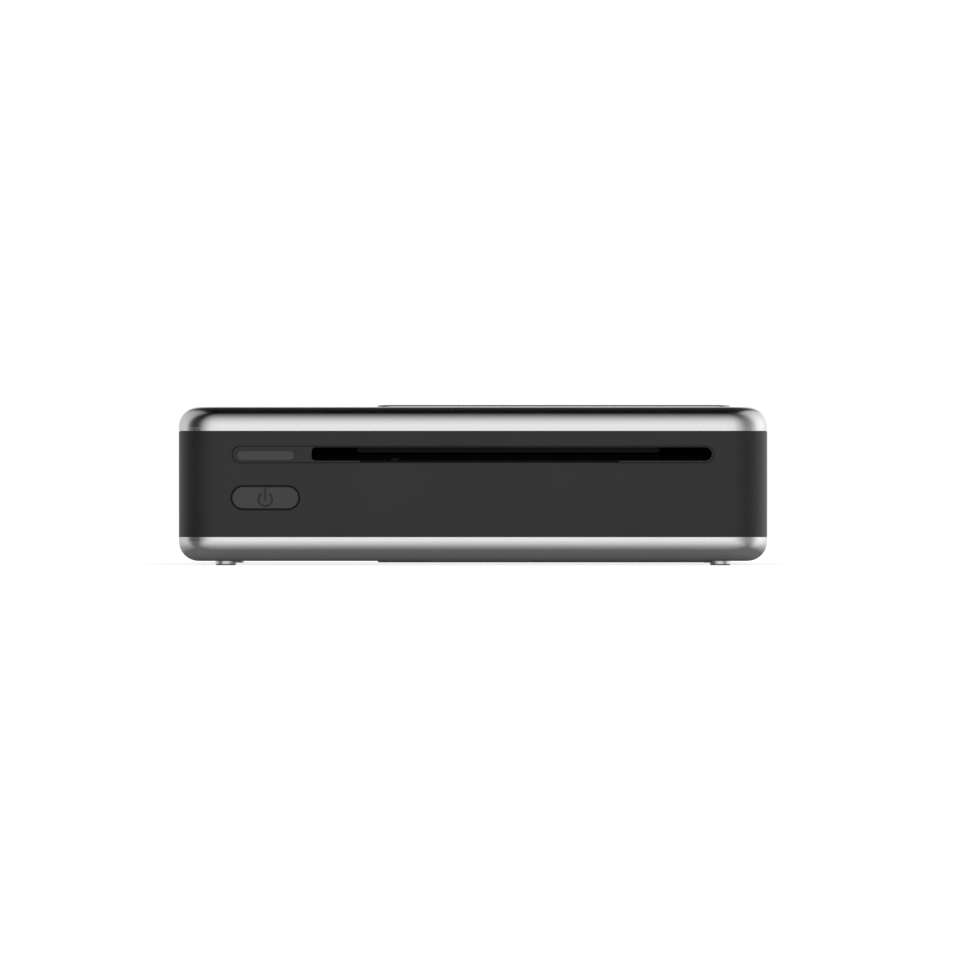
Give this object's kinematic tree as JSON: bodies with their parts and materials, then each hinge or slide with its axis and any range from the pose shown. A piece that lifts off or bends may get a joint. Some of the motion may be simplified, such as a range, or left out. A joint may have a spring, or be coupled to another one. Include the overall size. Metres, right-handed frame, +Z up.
{
  "type": "compact photo printer",
  "caption": "Pocket photo printer with a hinged top cover over a sheet tray, a front print slot, a status light and a power button.",
  "frame": {"origin": "centre of the footprint, on the surface that the feet stand on", "axes": "+Z up, -Y towards the user, out of the print slot, +X to the right as the user sees it"},
  "size_m": [0.074, 0.12, 0.0202],
  "materials": {
    "silver_shell": "satin silver coat",
    "raised_plate": "fine brushed, satin",
    "foot_chrome": "bright plated",
    "dark_band": "fine matt, anthracite",
    "button_face": "smooth matt",
    "light_lens": "frosted",
    "black_plastic": "black moulded",
    "tray_plastic": "dark grey, fine matt",
    "steel": "bright steel",
    "motor_can": "drawn can",
    "spring_steel": "spring wire",
    "screw_steel": "blackened",
    "ceramic_strip": "glazed",
    "heatsink": "plain aluminium",
    "roller_rubber": "ground rubber",
    "gear_white": "natural acetal",
    "brass": "turned",
    "battery_wrap": "foil pouch",
    "circuit_board": "green solder mask",
    "switch_body": "moulded",
    "led_chip": "clear",
    "socket_steel": "plated",
    "lead_sleeve": "soft"
  },
  "bodies": {
    "housing": {"bottom_shell": "silver_shell", "base_plate": "raised_plate", "foot_front_left": "foot_chrome", "foot_front_right": "foot_chrome", "foot_rear_left": "foot_chrome", "foot_rear_right": "foot_chrome", "casing_screws": "screw_steel", "middle_housing": "dark_band", "slot_bezel": "dark_band", "led_lens": "light_lens", "exit_guide": "black_plastic", "rear_strip": "silver_shell", "hinge_pins": "steel", "button_board": "circuit_board", "power_switch": "switch_body", "status_leds": "led_chip", "paper_tray": "tray_plastic", "print_frame": "steel", "frame_bridge": "steel", "inner_screws": "screw_steel", "separation_gate": "black_plastic", "paper_guide": "tray_plastic", "flag_sensor": "black_plastic", "head_pivot_pins": "steel", "head_springs": "spring_steel", "gear_studs": "steel", "roller_bushes": "brass", "motor": "motor_can", "motor_screws": "screw_steel", "battery": "battery_wrap", "main_board": "circuit_board", "charging_socket": "socket_steel", "leads": "lead_sleeve"},
    "cover": {"cover_shell": "silver_shell", "cover_plate": "raised_plate", "cover_liner": "tray_plastic", "liner_screws": "screw_steel", "pressure_pin": "steel", "pressure_springs": "spring_steel"},
    "pressure_plate": {"pressure_plate": "tray_plastic"},
    "power_button": {"power_button": "button_face"},
    "paper_flag": {"paper_flag": "black_plastic"},
    "print_head": {"thermal_head": "ceramic_strip", "head_heatsink": "heatsink"},
    "platen_roller": {"platen_shaft": "steel", "platen_sleeve": "roller_rubber", "platen_gear": "gear_white"},
    "feed_roller": {"feed_shaft": "steel", "feed_sleeves": "roller_rubber", "feed_gear": "gear_white"},
    "pick_roller": {"pick_shaft": "steel", "pick_sleeve": "roller_rubber", "pick_gear": "gear_white"},
    "pinch_roller": {"pinch_shaft": "steel", "pinch_sleeves": "roller_rubber"},
    "platen_idler": {"platen_idler": "gear_white"},
    "pick_idler": {"pick_idler": "gear_white"},
    "reduction_gear": {"reduction_gear": "gear_white"},
    "motor_rotor": {"motor_shaft": "steel", "motor_pinion": "brass"}
  },
  "joints": [
    {"name": "cover_hinge", "type": "hinge", "parent": "housing", "child": "cover", "pos_m": [0, 0.0505, 0.0184], "axis": [-1, 0, 0], "range_deg": [0, 100]},
    {"name": "pressure_plate_pivot", "type": "hinge", "parent": "cover", "child": "pressure_plate", "pos_m": [0, -0.006, 0.0169], "axis": [-1, 0, 0], "range_deg": [0, 3.5], "stiffness_Nm_per_rad": 0.135, "springref_deg": -5.73, "deforming": ["pressure_springs"]},
    {"name": "button_travel", "type": "slide", "parent": "housing", "child": "power_button", "axis": [0, 1, 0], "range_m": [0, 0.0004], "stiffness_N_per_m": 1200, "springref_m": -0.0005},
    {"name": "flag_pivot", "type": "hinge", "parent": "housing", "child": "paper_flag", "pos_m": [0, -0.041, 0.0116], "axis": [1, 0, 0], "range_deg": [0, 25], "stiffness_Nm_per_rad": 0.0002, "springref_deg": -22.92},
    {"name": "head_pivot", "type": "hinge", "parent": "housing", "child": "print_head", "pos_m": [0, -0.0396, 0.0159], "axis": [-1, 0, 0], "range_deg": [0, 2], "stiffness_Nm_per_rad": 0.25, "springref_deg": -6.88, "deforming": ["head_springs"]},
    {"name": "platen_spin", "type": "hinge", "parent": "housing", "child": "platen_roller", "pos_m": [0, -0.047, 0.0105], "axis": [1, 0, 0], "continuous": true},
    {"name": "feed_spin", "type": "hinge", "parent": "housing", "child": "feed_roller", "pos_m": [0, -0.0355, 0.0105], "axis": [1, 0, 0], "continuous": true},
    {"name": "pick_spin", "type": "hinge", "parent": "housing", "child": "pick_roller", "pos_m": [0, -0.02, 0.0105], "axis": [1, 0, 0], "continuous": true},
    {"name": "pinch_spin", "type": "hinge", "parent": "housing", "child": "pinch_roller", "pos_m": [0, -0.0355, 0.016], "axis": [1, 0, 0], "continuous": true},
    {"name": "platen_idler_spin", "type": "hinge", "parent": "housing", "child": "platen_idler", "pos_m": [0, -0.04125, 0.00687], "axis": [1, 0, 0], "continuous": true},
    {"name": "pick_idler_spin", "type": "hinge", "parent": "housing", "child": "pick_idler", "pos_m": [0, -0.02775, 0.01248], "axis": [1, 0, 0], "continuous": true},
    {"name": "reduction_spin", "type": "hinge", "parent": "housing", "child": "reduction_gear", "pos_m": [0, -0.0327, 0.00565], "axis": [1, 0, 0], "continuous": true},
    {"name": "motor_spin", "type": "hinge", "parent": "housing", "child": "motor_rotor", "pos_m": [0, -0.02824, 0.00628], "axis": [1, 0, 0], "continuous": true}
  ],
  "couplings": [
    {"joint": "feed_spin", "follows": "platen_spin", "ratio": 1},
    {"joint": "pick_spin", "follows": "platen_spin", "ratio": 1},
    {"joint": "pinch_spin", "follows": "platen_spin", "ratio": -1.9444},
    {"joint": "platen_idler_spin", "follows": "platen_spin", "ratio": -1.125},
    {"joint": "pick_idler_spin", "follows": "platen_spin", "ratio": -0.81818},
    {"joint": "reduction_spin", "follows": "platen_spin", "ratio": -1.8},
    {"joint": "motor_spin", "follows": "platen_spin", "ratio": 3.6}
  ]
}
